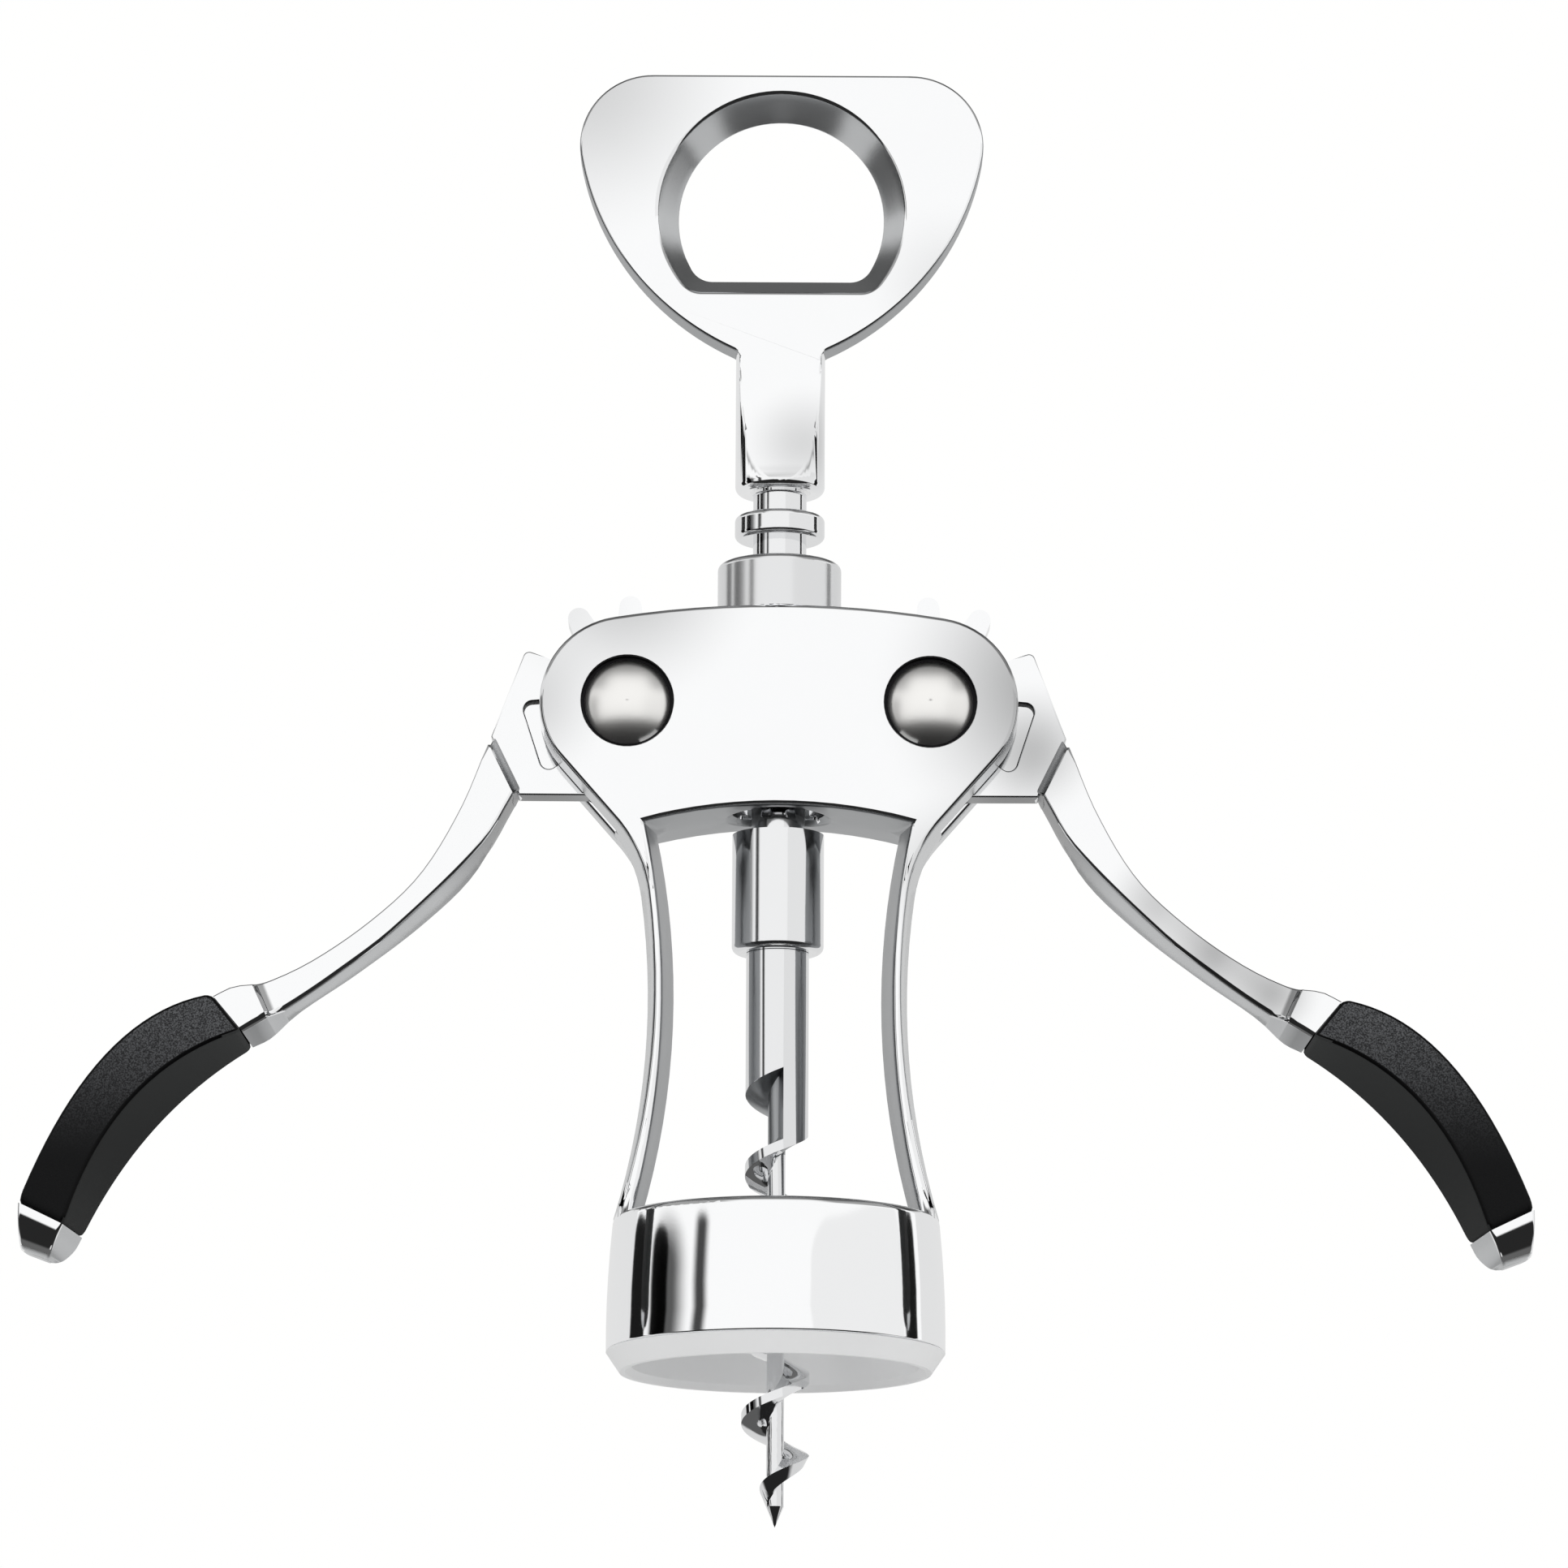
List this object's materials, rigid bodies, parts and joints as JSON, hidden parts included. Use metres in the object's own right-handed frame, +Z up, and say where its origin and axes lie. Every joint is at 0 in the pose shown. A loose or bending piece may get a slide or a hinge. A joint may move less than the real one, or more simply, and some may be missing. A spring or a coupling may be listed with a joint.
{
  "type": "wing corkscrew",
  "caption": "Winged corkscrew: geared arms in a cast, bell-footed frame draw up a toothed spindle that carries a steel worm, under a bottle-opener handle.",
  "frame": {"origin": "centre of the bell's mouth, in the plane of the liner's lip", "axes": "+Z up along the spindle to the handle, -Y out of the front of the housing, +X to the right, through the right-hand pivot"},
  "size_m": [0.1896, 0.0424, 0.1873],
  "materials": {
    "chrome": "bright chrome plate",
    "steel": "bright plated steel",
    "satin_nickel": "satin nickel",
    "black_plastic": "black, soft sheen, fine stipple",
    "white_plastic": "white, satin"
  },
  "bodies": {
    "frame": {"frame": "chrome", "guide_bush": "chrome", "bell_liner": "white_plastic", "rivet_front_left": "satin_nickel", "rivet_front_right": "satin_nickel", "rivet_rear_left": "satin_nickel", "rivet_rear_right": "satin_nickel"},
    "rack": {"rack_spindle": "chrome"},
    "worm_and_handle": {"worm": "steel", "handle": "chrome"},
    "left_lever": {"lever_left": "chrome", "grip_left": "black_plastic", "end_cap_left": "chrome"},
    "right_lever": {"lever_right": "chrome", "grip_right": "black_plastic", "end_cap_right": "chrome"}
  },
  "joints": [
    {"name": "spindle_slide", "type": "slide", "parent": "frame", "child": "rack", "axis": [0, 0, 1], "range_m": [-0.0204, 0.0089]},
    {"name": "handle_turn", "type": "hinge", "parent": "rack", "child": "worm_and_handle", "pos_m": [0, 0, 0.1128], "axis": [0, 0, 1], "continuous": true},
    {"name": "left_lever_swing", "type": "hinge", "parent": "frame", "child": "left_lever", "pos_m": [-0.0191, 0, 0.084], "axis": [0, 1, 0], "range_deg": [-38, 87]},
    {"name": "right_lever_swing", "type": "hinge", "parent": "frame", "child": "right_lever", "pos_m": [0.0191, 0, 0.084], "axis": [0, -1, 0], "range_deg": [-38, 87]}
  ],
  "couplings": [
    {"joint": "left_lever_swing", "follows": "spindle_slide", "rad_per_m": -74.349},
    {"joint": "right_lever_swing", "follows": "spindle_slide", "rad_per_m": -74.349}
  ]
}
